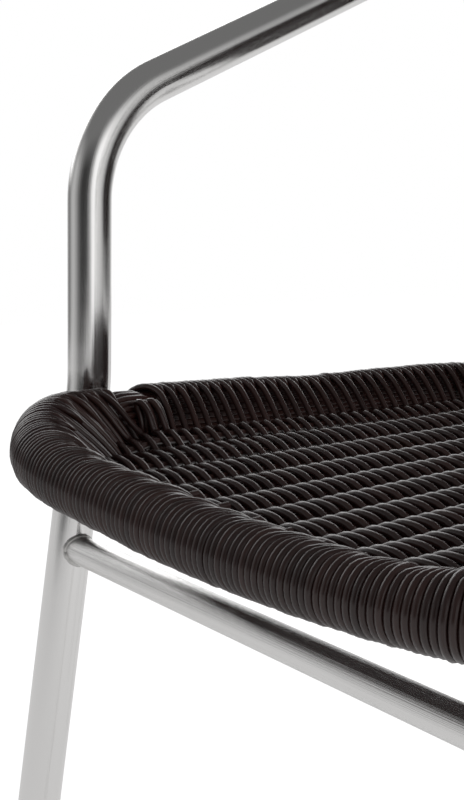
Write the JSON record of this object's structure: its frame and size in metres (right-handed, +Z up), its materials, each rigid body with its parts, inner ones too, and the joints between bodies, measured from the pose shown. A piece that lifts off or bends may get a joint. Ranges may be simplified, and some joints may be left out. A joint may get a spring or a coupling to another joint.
{
  "type": "rattan bistro chair",
  "caption": "Stacking bistro armchair: bent aluminium tube frame, seat rim wound with plastic rattan strand, woven dished seat and woven curved back.",
  "frame": {"origin": "on the floor, under the middle of the whole chair", "axes": "+Z up, -Y towards the front of the seat, +X across; the chair is alike on both sides of the plane X = 0. Left in the node names is the side at -X, the left when the chair is seen from the front."},
  "size_m": [0.482, 0.5378, 0.7745],
  "materials": {
    "polished_aluminium": "polished bright, upper tube mirror-like, lower leg and crossbar satin",
    "plain_aluminium": "plain mill finish, hidden or half hidden",
    "rattan_strand": "extruded round plastic strand, dark brown-black, soft sheen along the strand",
    "steel_fixings": "plain stainless steel",
    "foot_plastic": "moulded matt black"
  },
  "bodies": {
    "root": {"main_tube": "polished_aluminium", "rear_left_leg": "polished_aluminium", "rear_right_leg": "polished_aluminium", "front_crossbar": "polished_aluminium", "rear_crossbar": "polished_aluminium", "back_lower_rail": "polished_aluminium", "seat_ring_tube": "plain_aluminium", "seat_rim_underwrap": "rattan_strand", "seat_front_winding": "rattan_strand", "seat_left_winding": "rattan_strand", "seat_right_winding": "rattan_strand", "seat_back_winding": "rattan_strand", "seat_weave": "rattan_strand", "back_top_winding": "rattan_strand", "back_rail_winding": "rattan_strand", "back_left_winding": "rattan_strand", "back_right_winding": "rattan_strand", "back_weave": "rattan_strand", "front_left_seat_bolt": "steel_fixings", "front_right_seat_bolt": "steel_fixings", "rear_left_seat_bolt": "steel_fixings", "rear_right_seat_bolt": "steel_fixings", "front_left_nut": "steel_fixings", "front_right_nut": "steel_fixings", "rear_left_nut": "steel_fixings", "rear_right_nut": "steel_fixings", "front_left_spacer": "plain_aluminium", "front_right_spacer": "plain_aluminium", "rear_left_spacer": "plain_aluminium", "rear_right_spacer": "plain_aluminium", "front_left_foot": "foot_plastic", "front_right_foot": "foot_plastic", "rear_left_foot": "foot_plastic", "rear_right_foot": "foot_plastic"}
  },
  "joints": []
}
